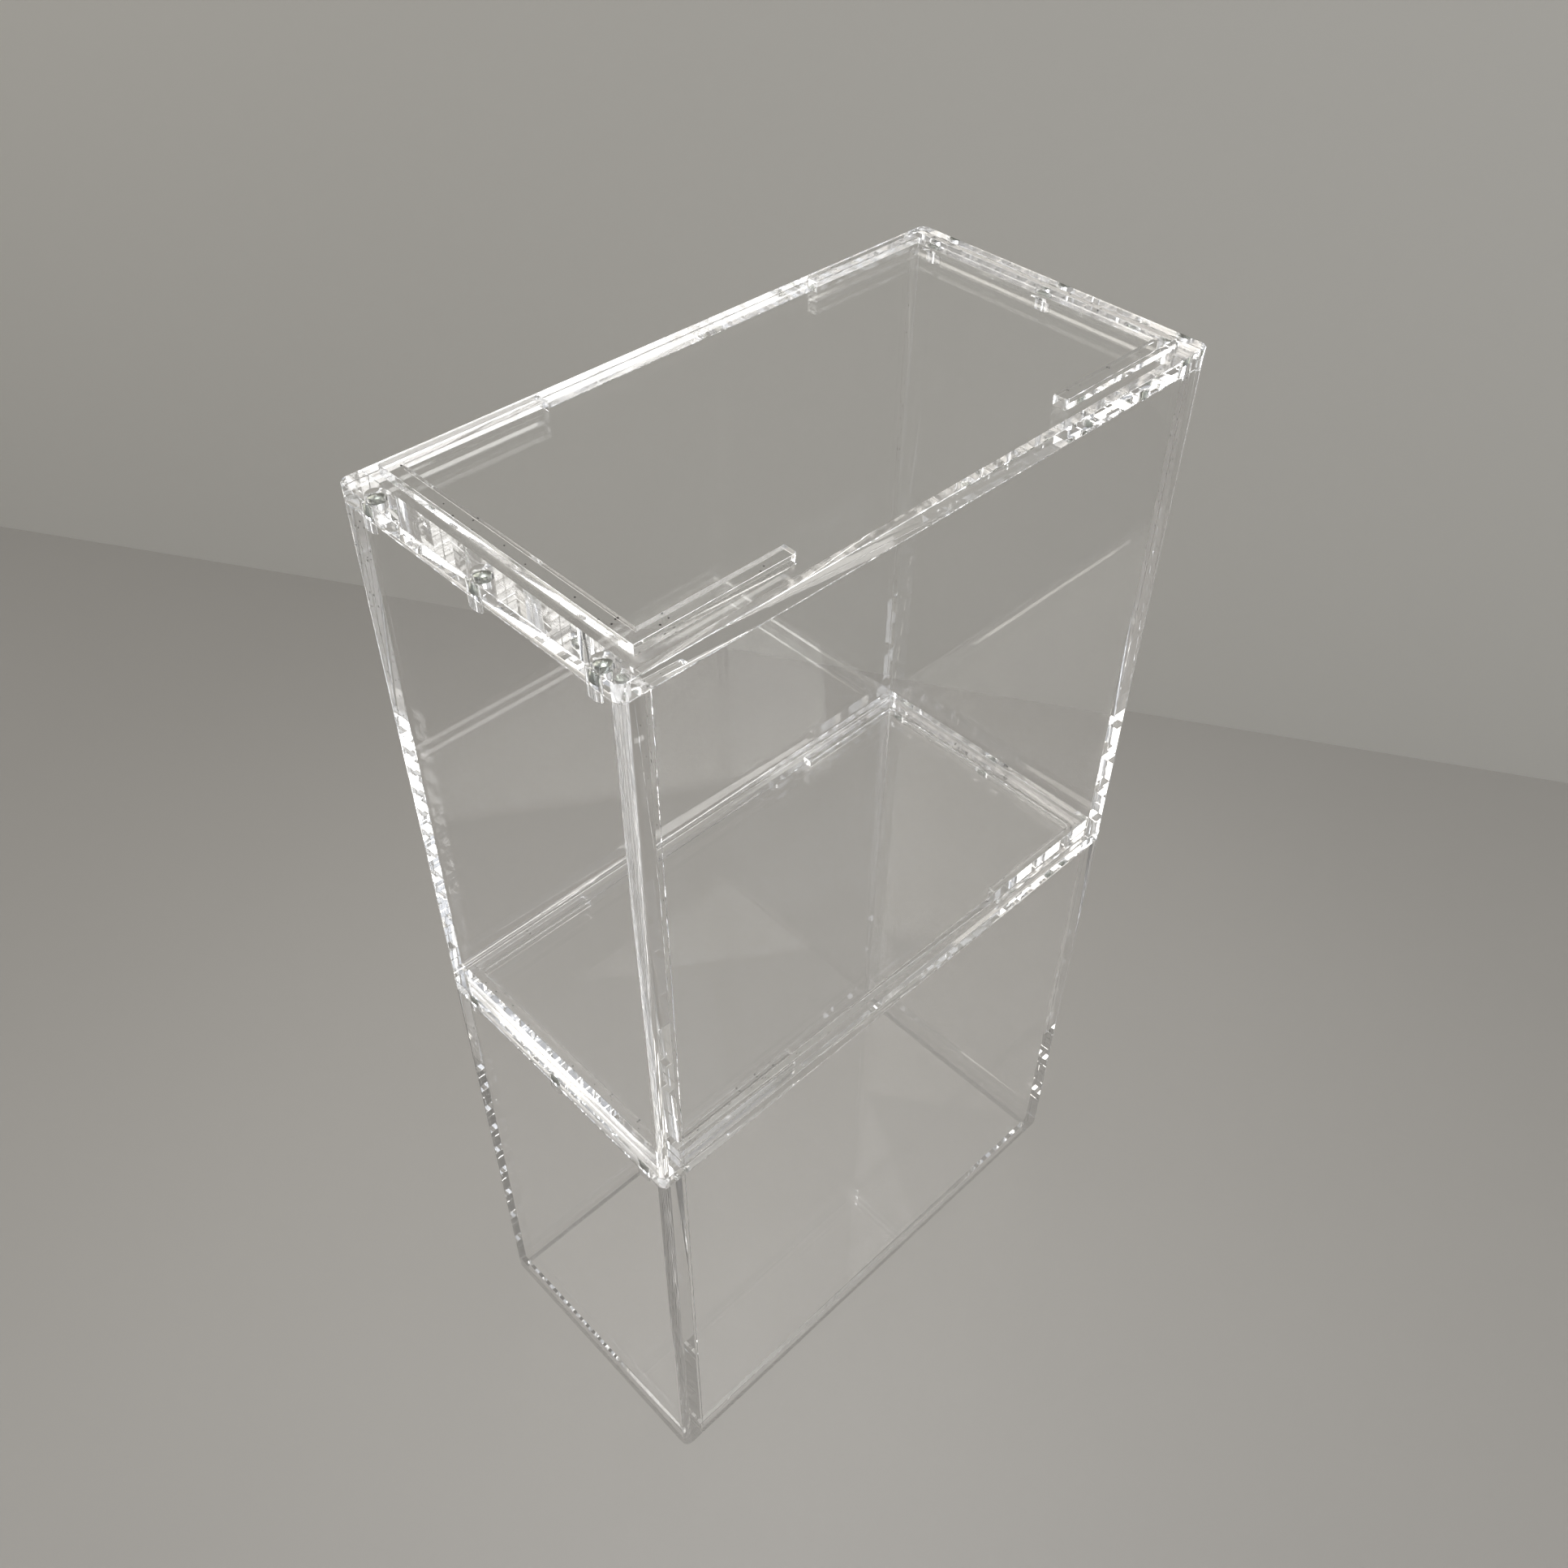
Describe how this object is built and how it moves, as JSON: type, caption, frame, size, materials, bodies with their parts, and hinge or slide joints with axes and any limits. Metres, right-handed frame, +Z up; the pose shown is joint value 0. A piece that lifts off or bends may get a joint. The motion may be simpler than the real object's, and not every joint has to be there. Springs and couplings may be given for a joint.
{
  "type": "acrylic storage box with lid",
  "caption": "Clear acrylic display boxes in a stack, with lift-off lids held by hidden disc magnets and low rails on each lid that locate the box above.",
  "frame": {"origin": "centre of the lower box's footprint, on the surface the stack stands on", "axes": "+Z up; +X along the long side, to the right seen from the front; the front wall faces -Y"},
  "size_m": [0.2, 0.101, 0.3632],
  "materials": {
    "clear_acrylic": "clear cast acrylic sheet, polished faces and edges",
    "cut_edge_acrylic": "clear acrylic strip with bright laser-cut edges",
    "nickel_plating": "bright nickel plating on disc magnets"
  },
  "bodies": {
    "lower_box": {"lower_base_panel": "clear_acrylic", "lower_front_wall": "clear_acrylic", "lower_back_wall": "clear_acrylic", "lower_left_end_wall": "clear_acrylic", "lower_right_end_wall": "clear_acrylic", "lower_left_wall_magnets": "nickel_plating", "lower_right_wall_magnets": "nickel_plating"},
    "lower_lid": {"lower_lid_panel": "clear_acrylic", "lower_left_rail": "cut_edge_acrylic", "lower_right_rail": "cut_edge_acrylic", "lower_left_lid_magnets": "nickel_plating", "lower_right_lid_magnets": "nickel_plating"},
    "upper_box": {"upper_base_panel": "clear_acrylic", "upper_front_wall": "clear_acrylic", "upper_back_wall": "clear_acrylic", "upper_left_end_wall": "clear_acrylic", "upper_right_end_wall": "clear_acrylic", "upper_left_wall_magnets": "nickel_plating", "upper_right_wall_magnets": "nickel_plating"},
    "upper_lid": {"upper_lid_panel": "clear_acrylic", "upper_left_rail": "cut_edge_acrylic", "upper_right_rail": "cut_edge_acrylic", "upper_left_lid_magnets": "nickel_plating", "upper_right_lid_magnets": "nickel_plating"}
  },
  "joints": [
    {"name": "lower_lid_lift", "type": "slide", "parent": "lower_box", "child": "lower_lid", "axis": [0, 0, 1], "range_m": [0, 0.06]},
    {"name": "upper_box_lift", "type": "slide", "parent": "lower_lid", "child": "upper_box", "axis": [0, 0, 1], "range_m": [0, 0.06]},
    {"name": "upper_lid_lift", "type": "slide", "parent": "upper_box", "child": "upper_lid", "axis": [0, 0, 1], "range_m": [0, 0.06]}
  ]
}
